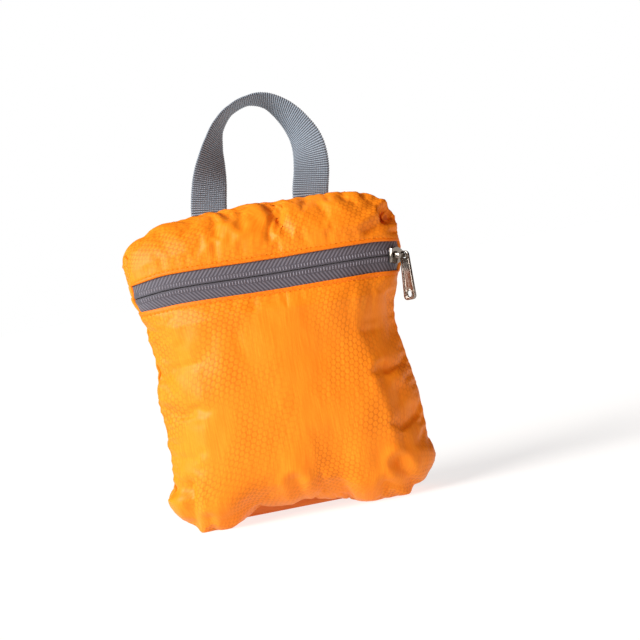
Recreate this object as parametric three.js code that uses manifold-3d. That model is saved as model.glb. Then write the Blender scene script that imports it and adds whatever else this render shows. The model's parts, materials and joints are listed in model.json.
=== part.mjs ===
import * as THREE from 'three';
import { mergeVertices } from 'three/addons/utils/BufferGeometryUtils.js';
import Module from 'manifold-3d';

const wasm = await Module();
wasm.setup();

// A packable backpack folded away into its own zip pouch. The pouch stands upright on its two bottom
// corners, its zip faces -Y and +X is to its right. Sizes are millimetres.
const pouchWidth = 150;       // side to side along the zip
const pouchHeight = 172;      // floor to top seam
const pouchDepth = 60;        // front to back at the belly
const zipHeight = 132;        // floor to the middle of the zip
const clothWall = 1.2;        // ripstop with its folded seam allowance
const seatGap = 0.3;          // clearance that neighbours keep
const squareness = 2.6;       // exponent of the level sections: 2 is an oval, more is squarer
const bottomSeamBack = 6;     // the bottom seam lies this far behind the middle
const sideSeamForward = { left: 8, right: 3 };

// Zip
const tapeWidthShown = 16.5;  // both tapes between the hems
const tapeTuck = 3;           // width of tape under each hem
const tapeThickness = 1;
const tapeSlit = 0.3;
const coilWidth = 4.4;
const coilThickness = 1.8;

// Slider
const sliderAcross = 0.96;    // share of the half width, just short of the right end of the zip
const sliderLength = 11.5;
const sliderWidth = 8.5;
const sliderTail = 6;         // width of its narrow end
const plateThickness = 1.2;
const postLength = 3;
const postWidth = 1.8;
const bridgeLength = 10.5;
const bridgeWidth = 2;
const bridgeBar = 1.5;        // thickness of the bridge's strip
const bridgeRise = 3.5;       // top plate to the middle of the strip

// Pull tab
const tabLength = 27;
const tabTopWidth = 5.2;
const tabFootWidth = 7.6;
const tabThickness = 1.6;
const tabRim = 1.1;
const tabRecess = 0.35;
const tabPlay = 0.35;         // clearance of the eye round the bridge's strip
const tabSeat = 2.2;          // place of the tab along the bridge, from its middle
const tabHoleLength = 4.2;
const tabHoleWidth = 3;

// Grab loop
const webbingWidth = 20;
const webbingThickness = 1.6;
const loopSpan = 56.6;        // between the middles of its two legs at the seam
const loopRise = 58;          // seam to the middle of its crown
const loopOffset = 4.2;       // its middle lies right of the pouch's middle
const loopLean = 17;          // degrees, backwards
const loopSewnIn = 6;         // length of each end inside the seam

// Side profile from the bottom seam to the top seam. path: share of the way. level: 0 at the bottom,
// 1 at the zip, 2 at the top. depth: share of half the depth. behind: share of bottomSeamBack.
const sideProfile = [
  { path: 0.00, level: 0.00, depth: 0.00, behind: 1.0 },
  { path: 0.05, level: 0.00, depth: 0.34, behind: 0.8 },
  { path: 0.10, level: 0.00, depth: 0.63, behind: 0.6 },
  { path: 0.14, level: 0.03, depth: 0.79, behind: 0.4 },
  { path: 0.19, level: 0.09, depth: 0.91, behind: 0.2 },
  { path: 0.28, level: 0.24, depth: 0.99, behind: 0.0 },
  { path: 0.41, level: 0.50, depth: 1.00, behind: 0.0 },
  { path: 0.55, level: 0.78, depth: 0.95, behind: 0.0 },
  { path: 0.67, level: 1.00, depth: 0.87, behind: 0.0 },
  { path: 0.77, level: 1.35, depth: 0.74, behind: 0.0 },
  { path: 0.86, level: 1.65, depth: 0.55, behind: 0.0 },
  { path: 0.93, level: 1.88, depth: 0.33, behind: 0.0 },
  { path: 0.98, level: 2.00, depth: 0.09, behind: 0.0 },
  { path: 1.00, level: 2.00, depth: 0.00, behind: 0.0 },
];

// Side edges seen from the front. height: share of the height. left, right: shares of half the width.
const sideEdges = [
  { height: 0.04, left: 0.91, right: 0.88 },
  { height: 0.07, left: 0.97, right: 0.94 },
  { height: 0.11, left: 1.01, right: 0.98 },
  { height: 0.17, left: 0.95, right: 0.95 },
  { height: 0.28, left: 0.94, right: 0.95 },
  { height: 0.44, left: 0.95, right: 0.91 },
  { height: 0.54, left: 0.92, right: 0.88 },
  { height: 0.67, left: 0.95, right: 0.94 },
  { height: 0.77, left: 1.00, right: 1.01 },
  { height: 0.88, left: 1.02, right: 1.01 },
];

// Bottom, zip and top lines seen from the front. across: share of the half width, left is negative.
// floor: share of the height. zip: share of the height above zipHeight. top: share of the height.
const bottomLine = [
  { across: -1.00, floor: 0.044 },
  { across: -0.86, floor: 0.000 },
  { across: -0.67, floor: 0.000 },
  { across: -0.37, floor: 0.038 },
  { across: 0.05, floor: 0.038 },
  { across: 0.56, floor: 0.000 },
  { across: 0.80, floor: 0.000 },
  { across: 1.00, floor: 0.040 },
];
const zipLine = [
  { across: -1.00, zip: 0.000 },
  { across: -0.65, zip: 0.011 },
  { across: 0.00, zip: 0.001 },
  { across: 0.80, zip: -0.008 },
  { across: 1.00, zip: -0.018 },
];
const topLine = [
  { across: -1.00, top: 0.878 },
  { across: -0.97, top: 0.908 },
  { across: -0.92, top: 0.935 },
  { across: -0.83, top: 0.957 },
  { across: -0.64, top: 0.988 },
  { across: -0.10, top: 1.000 },
  { across: 0.25, top: 0.994 },
  { across: 0.56, top: 0.988 },
  { across: 0.82, top: 0.964 },
  { across: 0.93, top: 0.930 },
  { across: 1.00, top: 0.878 },
];

// Seam between the front and the back. forward: share of sideSeamForward. behind: share of bottomSeamBack.
const seamLine = [
  { height: 0.00, forward: 0.00, behind: 1.0 },
  { height: 0.05, forward: 0.15, behind: 0.7 },
  { height: 0.14, forward: 0.80, behind: 0.1 },
  { height: 0.24, forward: 1.00, behind: 0.0 },
  { height: 0.78, forward: 1.00, behind: 0.0 },
  { height: 0.88, forward: 0.60, behind: 0.0 },
  { height: 0.94, forward: 0.30, behind: 0.0 },
  { height: 0.98, forward: 0.10, behind: 0.0 },
  { height: 1.00, forward: 0.00, behind: 0.0 },
];

// Dents and folds. side: 1 front, -1 back. across: share of the half width. height, tall: shares of the
// height. wide: share of the half width. depth: share of the depth, positive is a dent.
const folds = [
  { side: 1, across: -0.82, height: 0.09, wide: 0.14, tall: 0.10, depth: 0.060 },
  { side: 1, across: -0.30, height: 0.06, wide: 0.22, tall: 0.10, depth: 0.070 },
  { side: 1, across: 0.28, height: 0.12, wide: 0.18, tall: 0.14, depth: 0.065 },
  { side: 1, across: 0.62, height: 0.10, wide: 0.14, tall: 0.10, depth: 0.055 },
  { side: 1, across: 0.45, height: 0.50, wide: 0.30, tall: 0.16, depth: 0.050 },
  { side: 1, across: 0.80, height: 0.62, wide: 0.14, tall: 0.14, depth: 0.080 },
  { side: 1, across: -0.75, height: 0.60, wide: 0.16, tall: 0.12, depth: 0.040 },
  { side: 1, across: 0.10, height: 0.92, wide: 0.14, tall: 0.08, depth: 0.055 },
  { side: 1, across: 0.84, height: 0.88, wide: 0.14, tall: 0.05, depth: 0.060 },
  { side: -1, across: -0.40, height: 0.15, wide: 0.25, tall: 0.14, depth: 0.060 },
  { side: -1, across: 0.45, height: 0.22, wide: 0.22, tall: 0.16, depth: 0.060 },
  { side: -1, across: 0.00, height: 0.55, wide: 0.50, tall: 0.16, depth: 0.045 },
  { side: -1, across: -0.60, height: 0.80, wide: 0.22, tall: 0.12, depth: 0.055 },
  { side: -1, across: 0.55, height: 0.86, wide: 0.20, tall: 0.10, depth: 0.050 },
];

// Shown width of the zip tapes towards their ends, as a share of tapeWidthShown.
const tapeTaper = [
  { across: -1.10, share: 0.78 },
  { across: -0.92, share: 0.92 },
  { across: -0.70, share: 1.00 },
  { across: 0.80, share: 1.00 },
  { across: 1.10, share: 0.92 },
];

// Middle line of the grab loop. across: share of half its span. rise: share of its rise. twist: share of
// a quarter turn, 0 where the webbing lies along the seam and 1 where its width runs front to back.
const loopLine = [
  { across: -1.00, rise: 0.00, twist: 0.00 },
  { across: -0.89, rise: 0.28, twist: 0.22 },
  { across: -0.78, rise: 0.47, twist: 0.50 },
  { across: -0.67, rise: 0.64, twist: 0.70 },
  { across: -0.51, rise: 0.81, twist: 0.86 },
  { across: -0.24, rise: 0.94, twist: 0.97 },
  { across: 0.12, rise: 1.00, twist: 0.97 },
  { across: 0.45, rise: 0.97, twist: 0.84 },
  { across: 0.80, rise: 0.82, twist: 0.66 },
  { across: 1.02, rise: 0.64, twist: 0.50 },
  { across: 1.13, rise: 0.46, twist: 0.28 },
  { across: 1.12, rise: 0.26, twist: 0.06 },
  { across: 1.00, rise: 0.00, twist: 0.00 },
];

const columns = 48;           // facets round the pouch
const loopSteps = 34;

const ripstop = new THREE.MeshStandardMaterial({ color: '#ef8b22', roughness: 0.6, metalness: 0 });
const foldedCloth = new THREE.MeshStandardMaterial({ color: '#d9751a', roughness: 0.8, metalness: 0 });
const zipTape = new THREE.MeshStandardMaterial({ color: '#615e68', roughness: 0.85, metalness: 0 });
const zipCoil = new THREE.MeshStandardMaterial({ color: '#4a474f', roughness: 0.5, metalness: 0 });
const webbing = new THREE.MeshStandardMaterial({ color: '#6f757b', roughness: 0.8, metalness: 0 });
const plated = new THREE.MeshStandardMaterial({ color: '#c9c5bf', roughness: 0.25, metalness: 1 });

// Reads one column of a table on a smooth curve that never overshoots its rows.
function readTable(table, key, column, at) {
  const last = table.length - 1;
  let i = 0;
  while (i < last - 1 && at > table[i + 1][key]) i += 1;
  const [from, to] = [table[i], table[i + 1]];
  const span = to[key] - from[key];
  const share = THREE.MathUtils.clamp((at - from[key]) / span, 0, 1);
  const secant = (row) => (table[row + 1][column] - table[row][column]) / (table[row + 1][key] - table[row][key]);
  const slope = (row) => {
    if (row === 0) return secant(0);
    if (row === last) return secant(last - 1);
    const [before, after] = [secant(row - 1), secant(row)];
    return before * after > 0 ? (2 * before * after) / (before + after) : 0;
  };
  const [s2, s3] = [share ** 2, share ** 3];
  const ends = (2 * s3 - 3 * s2 + 1) * from[column] + (3 * s2 - 2 * s3) * to[column];
  const slopes = (s3 - 2 * s2 + share) * slope(i) + (s3 - s2) * slope(i + 1);
  return ends + slopes * span;
}

function zipLineHeight(across) {
  return zipHeight + readTable(zipLine, 'across', 'zip', across) * pouchHeight;
}

// Height of a point of the outer form from its level, 0 at the bottom line, 1 at the zip, 2 at the top.
function levelHeight(across, level) {
  const zip = zipLineHeight(across);
  if (level < 1) return THREE.MathUtils.lerp(readTable(bottomLine, 'across', 'floor', across) * pouchHeight, zip, level);
  return THREE.MathUtils.lerp(zip, readTable(topLine, 'across', 'top', across) * pouchHeight, level - 1);
}

function foldDepth(side, across, height) {
  let depth = 0;
  for (const fold of folds) {
    if (fold.side !== side) continue;
    const reach = ((across - fold.across) / fold.wide) ** 2 + ((height - fold.height) / fold.tall) ** 2;
    depth += fold.depth * pouchDepth * Math.exp(-reach);
  }
  return depth;
}

// A point of the pouch. turn goes once round it, from its right edge over the front, the left edge and the
// back, and path goes from the bottom seam to the top seam. inset moves the point into the pouch.
function pouchPoint(turn, path, inset) {
  const across = Math.sign(Math.cos(turn)) * Math.abs(Math.cos(turn)) ** (2 / squareness);
  const bulge = Math.abs(Math.sin(turn)) ** (2 / squareness);
  const side = Math.sin(turn) > 0 ? 1 : -1;
  const level = readTable(sideProfile, 'path', 'level', path);
  const depth = readTable(sideProfile, 'path', 'depth', path);
  const height = levelHeight(across, level);
  const edge = readTable(sideEdges, 'height', across < 0 ? 'left' : 'right', height / pouchHeight);
  const middle = readTable(sideProfile, 'path', 'behind', path) * bottomSeamBack;
  const outward = bulge * depth * (pouchDepth / 2 - inset - foldDepth(side, across, height / pouchHeight));
  return new THREE.Vector3(
    across * edge * (pouchWidth / 2 - inset),
    middle - side * outward,
    height + inset * (1 - level),
  );
}

// Turns a closed geometry into a solid for joining and cutting.
function toSolid(geometry) {
  const bare = geometry.clone();
  bare.deleteAttribute('normal');
  bare.deleteAttribute('uv');
  const merged = mergeVertices(bare, 1e-4);
  return new wasm.Manifold(new wasm.Mesh({
    numProp: 3,
    vertProperties: new Float32Array(merged.attributes.position.array),
    triVerts: new Uint32Array(merged.index.array),
  }));
}

function toMesh(name, solid, material) {
  const cut = solid.getMesh();
  const geometry = new THREE.BufferGeometry();
  geometry.setAttribute('position', new THREE.BufferAttribute(cut.vertProperties, 3));
  geometry.setIndex(new THREE.BufferAttribute(cut.triVerts, 1));
  geometry.computeVertexNormals();
  const mesh = new THREE.Mesh(geometry, material);
  mesh.name = name;
  return mesh;
}

// The closed form of the pouch, its rows folded shut along the bottom seam and the top seam.
function pouchForm(inset) {
  const paths = [];
  for (let i = 0; i < sideProfile.length - 1; i += 1) {
    paths.push(sideProfile[i].path, (sideProfile[i].path + sideProfile[i + 1].path) / 2);
  }
  paths.push(1);
  const points = paths.flatMap((path) => (
    Array.from({ length: columns }, (_, i) => pouchPoint((i / columns) * 2 * Math.PI, path, inset))
  ));
  const faces = [];
  for (let row = 0; row < paths.length - 1; row += 1) {
    for (let i = 0; i < columns; i += 1) {
      const next = (i + 1) % columns;
      const [a, b] = [row * columns + i, row * columns + next];
      const [c, d] = [a + columns, b + columns];
      faces.push(a, c, b, b, c, d);
    }
  }
  const geometry = new THREE.BufferGeometry().setFromPoints(points);
  geometry.setIndex(faces);
  return toSolid(geometry);
}

// The wall between two insets.
function pouchWall(outer, inner) {
  return pouchForm(outer).subtract(pouchForm(inner));
}

// All that lies in front of the side and bottom seams, or behind them, short of the seam by half a gap.
function seamSide(front) {
  const far = front ? -pouchDepth : pouchDepth;
  const trim = (front ? -seatGap : seatGap) / 2;
  const halves = ['left', 'right'].map((half) => {
    const outline = new THREE.Shape();
    outline.moveTo(far, -pouchHeight);
    outline.lineTo(bottomSeamBack + trim, -pouchHeight);
    for (const row of seamLine) {
      const set = row.behind * bottomSeamBack - row.forward * sideSeamForward[half];
      outline.lineTo(set + trim, row.height * pouchHeight);
    }
    outline.lineTo(trim, 2 * pouchHeight);
    outline.lineTo(far, 2 * pouchHeight);
    const geometry = new THREE.ExtrudeGeometry(outline, { depth: pouchWidth, bevelEnabled: false });
    const along = new THREE.Matrix4().makeBasis(
      new THREE.Vector3(0, 1, 0),
      new THREE.Vector3(0, 0, 1),
      new THREE.Vector3(1, 0, 0),
    );
    geometry.applyMatrix4(along);
    geometry.translate(half === 'left' ? -pouchWidth : 0, 0, 0);
    return toSolid(geometry);
  });
  return halves[0].add(halves[1]);
}

// All between two lines that follow the zip, from the front to a distance behind the middle. Each line is
// its distance from the zip's middle, of which the shown width of the tapes tapers towards the ends.
function zipBand(low, high, behind) {
  const steps = 16;
  const line = (offset) => Array.from({ length: steps + 1 }, (_, i) => {
    const across = ((i / steps) * 2 - 1) * 1.1;
    const shown = Math.sign(offset) * Math.min(Math.abs(offset), tapeWidthShown / 2);
    const taper = readTable(tapeTaper, 'across', 'share', across);
    return new THREE.Vector2((across * pouchWidth) / 2, zipLineHeight(across) + shown * taper + offset - shown);
  });
  const outline = new THREE.Shape([...line(low), ...line(high).reverse()]);
  const geometry = new THREE.ExtrudeGeometry(outline, { depth: pouchDepth + behind, bevelEnabled: false });
  return toSolid(geometry.rotateX(Math.PI / 2).translate(0, behind, 0));
}

// A place on the pouch's outer form for the slider, with axes along the zip, up the cloth and outwards.
function sliderPlace() {
  const level = sideProfile.find((row) => row.level === 1).path;
  const turn = Math.acos(sliderAcross ** (squareness / 2));
  const step = 0.02;
  const along = pouchPoint(turn - step, level, 0).sub(pouchPoint(turn + step, level, 0)).normalize();
  const up = pouchPoint(turn, level + step, 0).sub(pouchPoint(turn, level - step, 0));
  const out = new THREE.Vector3().crossVectors(along, up).normalize();
  up.crossVectors(out, along);
  return new THREE.Matrix4().makeBasis(along, up, out).setPosition(pouchPoint(turn, level, 0));
}

// A flat shape extruded from one height to another.
function plate(outline, from, to) {
  const settings = { depth: to - from, bevelEnabled: false, curveSegments: 6 };
  return new THREE.ExtrudeGeometry(outline, settings).translate(0, 0, from);
}

function rectangle(left, right, low, high) {
  return new THREE.Shape([
    new THREE.Vector2(left, low),
    new THREE.Vector2(right, low),
    new THREE.Vector2(right, high),
    new THREE.Vector2(left, high),
  ]);
}

// Depths of what lies under the cloth at the zip, each clear of the last.
const tapeInset = clothWall + seatGap;
const coilInset = tapeInset + tapeThickness + seatGap;
const lowerPlateInset = coilInset + coilThickness + seatGap;
const packInsetAtZip = lowerPlateInset + plateThickness + seatGap;
const upperPlateTop = plateThickness + seatGap - tapeInset;
const postEnd = sliderLength * 0.28;

// Slider: two plates that hold the tapes between them, the post that joins them and the bridge. It lies
// along X, with the cloth's outer face at Z 0.
function sliderBody() {
  const [end, half, tail] = [sliderLength / 2, sliderWidth / 2, sliderTail / 2];
  const outline = new THREE.Shape([
    new THREE.Vector2(-end, -tail),
    new THREE.Vector2(-end * 0.25, -tail),
    new THREE.Vector2(end * 0.2, -half),
    new THREE.Vector2(end * 0.7, -half),
    new THREE.Vector2(end, -half / 2),
    new THREE.Vector2(end, half / 2),
    new THREE.Vector2(end * 0.7, half),
    new THREE.Vector2(end * 0.2, half),
    new THREE.Vector2(-end * 0.25, tail),
    new THREE.Vector2(-end, tail),
  ]);
  const upper = toSolid(plate(outline, upperPlateTop - plateThickness, upperPlateTop));
  const lower = toSolid(plate(outline, -lowerPlateInset - plateThickness, -lowerPlateInset));
  const postShape = rectangle(postEnd - postLength, postEnd, -postWidth / 2, postWidth / 2);
  const post = toSolid(plate(postShape, -lowerPlateInset - plateThickness / 2, upperPlateTop - plateThickness / 2));
  const [reach, rise] = [bridgeLength / 2, bridgeRise + bridgeBar / 2];
  const arch = rectangle(-reach, reach, -plateThickness / 2, rise);
  arch.holes.push(rectangle(bridgeBar - reach, reach - bridgeBar, 0, rise - bridgeBar));
  const strip = plate(arch, -bridgeWidth / 2, bridgeWidth / 2).rotateX(Math.PI / 2);
  const bridge = toSolid(strip.translate(0, 0, upperPlateTop));
  return upper.add(lower).add(post).add(bridge);
}

// A block in the slider's place that clears what the slider covers, down to a depth under the cloth.
function sliderRoom(left, right, half, deep) {
  const block = plate(rectangle(left, right, -half, half), -deep, tapeInset);
  return toSolid(block.applyMatrix4(sliderPlace()));
}

// Pull tab: a flat plate with a round eye for the bridge at its origin, hanging along -Y with its faces
// square to Z.
function pullTab() {
  const eyeRadius = Math.hypot(bridgeWidth, bridgeBar) / 2 + tabPlay;
  const [top, low] = [tabTopWidth / 2, tabFootWidth / 2];
  const foot = top - tabLength;
  const corner = tabFootWidth * 0.3;
  const outline = new THREE.Shape();
  outline.moveTo(-low + corner, foot);
  outline.lineTo(low - corner, foot);
  outline.quadraticCurveTo(low, foot, low, foot + corner);
  outline.lineTo(top, 0);
  outline.absarc(0, 0, top, 0, Math.PI, false);
  outline.lineTo(-low, foot + corner);
  outline.quadraticCurveTo(-low, foot, -low + corner, foot);
  const eye = new THREE.Path();
  eye.absarc(0, 0, eyeRadius, 0, Math.PI * 2, true);
  const hole = new THREE.Path();
  const holeMiddle = foot + tabRim + tabHoleLength / 2;
  hole.absellipse(0, holeMiddle, tabHoleWidth / 2, tabHoleLength / 2, 0, Math.PI * 2, true);
  outline.holes.push(eye, hole);
  const recessFoot = holeMiddle + tabHoleLength / 2 + tabRim;
  const recess = new THREE.Shape([
    new THREE.Vector2(-low + tabRim * 1.2, recessFoot),
    new THREE.Vector2(low - tabRim * 1.2, recessFoot),
    new THREE.Vector2(top - tabRim * 0.7, -top - tabRim),
    new THREE.Vector2(-top + tabRim * 0.7, -top - tabRim),
  ]);
  const face = tabThickness / 2;
  const nearFace = toSolid(plate(recess, face - tabRecess, face * 2));
  const farFace = toSolid(plate(recess, -face * 2, tabRecess - face));
  return toSolid(plate(outline, -face, face)).subtract(nearFace).subtract(farFace);
}

// Grab loop: one length of webbing swept along its middle line, its legs straight down into the seam.
// grow makes it larger all round, for the slot that it is sewn into.
function loopSolid(grow) {
  const lean = THREE.MathUtils.degToRad(loopLean);
  const base = pouchHeight - webbingThickness / 2;
  const place = (row) => new THREE.Vector3(
    loopOffset + (row.across * loopSpan) / 2,
    row.rise * loopRise * Math.tan(lean),
    base + row.rise * loopRise,
  );
  const foot = (row) => place(row).add(new THREE.Vector3(0, 0, -loopSewnIn - grow));
  const rows = [loopLine[0], ...loopLine, loopLine[loopLine.length - 1]];
  const places = [foot(rows[0]), ...loopLine.map(place), foot(rows[rows.length - 1])];
  const route = new THREE.CatmullRomCurve3(places, false, 'centripetal');
  const backwards = new THREE.Vector3(0, Math.cos(lean), -Math.sin(lean));
  const points = [];
  for (let i = 0; i <= loopSteps; i += 1) {
    const at = (i / loopSteps) * (rows.length - 1);
    const low = Math.min(Math.floor(at), rows.length - 2);
    const twist = THREE.MathUtils.lerp(rows[low].twist, rows[low + 1].twist, at - low) * (Math.PI / 2);
    const centre = route.getPoint(i / loopSteps);
    const tangent = route.getTangent(i / loopSteps);
    const inwards = new THREE.Vector3().crossVectors(tangent, backwards).negate().normalize();
    const width = inwards.multiplyScalar(Math.cos(twist)).addScaledVector(backwards, Math.sin(twist));
    width.addScaledVector(tangent, -width.dot(tangent)).normalize();
    const thick = new THREE.Vector3().crossVectors(tangent, width).normalize();
    for (const [w, t] of [[-1, -1], [1, -1], [1, 1], [-1, 1]]) {
      points.push(centre.clone()
        .addScaledVector(width, w * (webbingWidth / 2 + grow))
        .addScaledVector(thick, t * (webbingThickness / 2 + grow)));
    }
  }
  const faces = [0, 2, 1, 0, 3, 2];
  for (let i = 0; i < loopSteps; i += 1) {
    for (let side = 0; side < 4; side += 1) {
      const [a, b] = [i * 4 + side, i * 4 + ((side + 1) % 4)];
      faces.push(a, b, a + 4, b, b + 4, a + 4);
    }
  }
  const end = loopSteps * 4;
  faces.push(end, end + 1, end + 2, end, end + 2, end + 3);
  const geometry = new THREE.BufferGeometry().setFromPoints(points);
  geometry.setIndex(faces);
  return toSolid(geometry);
}

const hem = tapeWidthShown / 2;
const loopSlot = loopSolid(seatGap);
const inFront = seamSide(true);
const wall = pouchWall(0, clothWall).subtract(loopSlot);
const frontWall = wall.intersect(inFront);
const frontLower = frontWall.intersect(zipBand(-pouchHeight * 2, -hem, pouchDepth));
const frontUpper = frontWall.intersect(zipBand(hem, pouchHeight, pouchDepth));
const back = wall.intersect(seamSide(false));

const sliderReach = sliderLength / 2 + seatGap;
const postHalf = postWidth / 2 + seatGap;
const postSlot = sliderRoom(postEnd - postLength - seatGap, postEnd + seatGap, postHalf, packInsetAtZip);
const tapes = pouchWall(tapeInset, tapeInset + tapeThickness).intersect(inFront).subtract(postSlot);
const tapeUpper = tapes.intersect(zipBand(tapeSlit / 2, hem + tapeTuck, 0));
const tapeLower = tapes.intersect(zipBand(-hem - tapeTuck, -tapeSlit / 2, 0));
const coil = pouchWall(coilInset, coilInset + coilThickness)
  .intersect(inFront)
  .intersect(zipBand(-coilWidth / 2, coilWidth / 2, 0))
  .subtract(sliderRoom(-sliderReach, pouchDepth, sliderWidth, pouchDepth / 2));

const roomHalf = hem + tapeTuck + seatGap;
const zipRoom = zipBand(-roomHalf, roomHalf, 0).subtract(pouchForm(packInsetAtZip));
const slotUnderSlider = sliderRoom(-sliderReach, sliderReach, sliderWidth / 2 + seatGap, packInsetAtZip);
const pack = pouchForm(clothWall + seatGap).subtract(zipRoom).subtract(slotUnderSlider).subtract(loopSlot);

// The slider sits on the zip near its right end. The tab hangs from its bridge, straight down.
const slider = new THREE.Group();
slider.applyMatrix4(sliderPlace());
slider.add(toMesh('slider_body', sliderBody(), plated));
const tab = toMesh('pull_tab', pullTab(), plated);
const down = new THREE.Vector3(0, 0, -1).applyQuaternion(slider.quaternion.clone().invert());
tab.position.set(tabSeat, 0, upperPlateTop + bridgeRise);
tab.quaternion.setFromEuler(new THREE.Euler(Math.atan2(-down.z, -down.y), Math.PI / 2, 0));
slider.add(tab);

const backpack = new THREE.Group();
backpack.add(
  toMesh('front_panel_lower', frontLower, ripstop),
  toMesh('front_panel_upper', frontUpper, ripstop),
  toMesh('back_panel', back, ripstop),
  toMesh('folded_pack', pack, foldedCloth),
  toMesh('zipper_tape_upper', tapeUpper, zipTape),
  toMesh('zipper_tape_lower', tapeLower, zipTape),
  toMesh('zipper_coil', coil, zipCoil),
  toMesh('grab_loop', loopSolid(0), webbing),
  slider,
);

// The origin lies on the floor under the middle of the whole.
const middle = new THREE.Box3().setFromObject(backpack, true).getCenter(new THREE.Vector3());
backpack.position.set(-middle.x, -middle.y, 0);

export default backpack;
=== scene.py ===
import json
import math

import bmesh
import bpy
import numpy as np
from mathutils import Matrix, Vector, noise


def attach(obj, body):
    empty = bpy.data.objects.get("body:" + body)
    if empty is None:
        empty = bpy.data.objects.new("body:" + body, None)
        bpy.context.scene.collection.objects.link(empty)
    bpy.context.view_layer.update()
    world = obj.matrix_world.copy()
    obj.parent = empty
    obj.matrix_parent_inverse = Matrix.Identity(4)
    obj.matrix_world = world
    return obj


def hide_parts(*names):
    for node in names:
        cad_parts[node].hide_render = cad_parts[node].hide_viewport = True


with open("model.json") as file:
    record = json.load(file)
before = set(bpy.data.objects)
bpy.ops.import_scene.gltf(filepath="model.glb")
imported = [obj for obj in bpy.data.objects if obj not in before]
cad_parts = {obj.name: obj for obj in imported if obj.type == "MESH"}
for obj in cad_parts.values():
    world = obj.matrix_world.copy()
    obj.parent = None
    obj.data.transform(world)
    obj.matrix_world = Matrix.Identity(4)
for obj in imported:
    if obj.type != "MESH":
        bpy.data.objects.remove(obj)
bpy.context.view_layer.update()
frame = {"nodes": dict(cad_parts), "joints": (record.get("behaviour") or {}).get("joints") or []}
mm = 0.001

# Camera: a 100 mm lens about a metre away, just above level, rolled so that the pouch leans to the left
# in the picture.
lens = 100
sensor = 36
view_width = 352 * mm
view_aim = Vector((23.4 * mm, 0, 102.1 * mm))
view_rise = math.radians(2)
view_roll = math.radians(-10.8)
camera = bpy.data.objects.new("camera", bpy.data.cameras.new("camera"))
camera.data.lens = lens
camera.data.sensor_width = sensor
facing = Matrix.Rotation(math.pi / 2 - view_rise, 4, "X") @ Matrix.Rotation(view_roll, 4, "Z")
set_back = facing.to_3x3() @ Vector((0, 0, view_width * lens / sensor))
camera.matrix_world = Matrix.Translation(view_aim + set_back) @ facing
bpy.context.scene.collection.objects.link(camera)
bpy.context.scene.camera = camera

# Studio: pale paper floor that runs out of sight into a white surround, a broad soft key light from the
# upper left and a weak fill from the right.
paper = "#959390"
paper_glow = 0.76
key_from = Vector((-0.76, -0.45, 0.48)).normalized()
key_strength = 4.9
key_spread = math.radians(38)
fill_from = Vector((0.55, -0.80, 0.25)).normalized()
fill_strength = 0.8
fill_colour = "#ffa473"
fill_spread = math.radians(60)
surround_low = 0.05
surround_high = 1.6
surround_edge = (0.90, 0.99)
white = (1, 1, 1, 1)


def linear(colour):
    """An sRGB hex colour as linear red, green, blue and alpha."""
    channels = [int(colour[i:i + 2], 16) / 255 for i in (1, 3, 5)]
    return [c / 12.92 if c <= 0.04045 else ((c + 0.055) / 1.055) ** 2.4 for c in channels] + [1]


def add(tree, kind, settings=None, inputs=None, output=0):
    """Adds a node, sets it up, links it to other nodes' outputs and returns one of its outputs."""
    node = tree.nodes.new("ShaderNode" + kind)
    for name, value in (settings or {}).items():
        setattr(node, name, value)
    for name, value in (inputs or {}).items():
        if isinstance(value, bpy.types.NodeSocket):
            tree.links.new(value, node.inputs[name])
        else:
            node.inputs[name].default_value = value
    return node.outputs[output] if node.outputs else None


def combine(tree, operation, *values):
    """A math node on one, two or three values or outputs."""
    return add(tree, "Math", {"operation": operation}, dict(enumerate(values)))


def fit(tree, value, low, high, to_low=0.0, to_high=1.0, kind="LINEAR"):
    """Maps a value from one range onto another and holds it at the ends."""
    return add(tree, "MapRange", {"interpolation_type": kind}, {
        "Value": value, "From Min": low, "From Max": high, "To Min": to_low, "To Max": to_high})


def grain(tree, place, size, detail):
    """Noise with its lumps about a size apart."""
    return add(tree, "TexNoise", inputs={"Vector": place, "Scale": 1 / size, "Detail": detail})


def mix(tree, share, first, second):
    """A blend of two colours, each a hex colour or an output."""
    first, second = (linear(colour) if isinstance(colour, str) else colour for colour in (first, second))
    return add(tree, "MixRGB", inputs={"Fac": share, "Color1": first, "Color2": second})


def finish(tree, height, strength, depth, looks):
    """Ends a material with a principled surface over a relief."""
    relief = add(tree, "Bump", inputs={"Height": height, "Strength": strength, "Distance": depth})
    surface = add(tree, "BsdfPrincipled", inputs={**looks, "Normal": relief})
    add(tree, "OutputMaterial", inputs={"Surface": surface})


def new_material(name):
    """An empty material and its node tree."""
    material = bpy.data.materials.new(name)
    material.use_nodes = True
    material.node_tree.nodes.clear()
    return material, material.node_tree


def add_sun(name, towards, strength, spread, colour="#ffffff"):
    """A distant soft light that shines from a direction."""
    light = bpy.data.lights.new(name, "SUN")
    light.energy = strength
    light.color = linear(colour)[:3]
    light.angle = spread
    sun = bpy.data.objects.new(name, light)
    sun.rotation_euler = towards.to_track_quat("Z", "Y").to_euler()
    bpy.context.scene.collection.objects.link(sun)


add_sun("key", key_from, key_strength, key_spread)
add_sun("fill", fill_from, fill_strength, fill_spread, fill_colour)
surround = bpy.data.worlds.new("surround")
surround.use_nodes = True
sky = surround.node_tree
sky.nodes.clear()
way = add(sky, "TexCoord")
near_key = add(sky, "VectorMath", {"operation": "DOT_PRODUCT"}, {0: way, 1: key_from}, output=1)
glow = fit(sky, near_key, *surround_edge, surround_low, surround_high, "SMOOTHSTEP")
lit = add(sky, "Background", inputs={"Color": white, "Strength": glow})
seen = add(sky, "Background", inputs={"Color": white, "Strength": 1.0})
is_seen = add(sky, "LightPath")
add(sky, "OutputWorld", inputs={"Surface": add(sky, "MixShader", inputs={0: is_seen, 1: lit, 2: seen})})
bpy.context.scene.world = surround
bpy.context.scene.view_settings.view_transform = "Standard"

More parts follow.
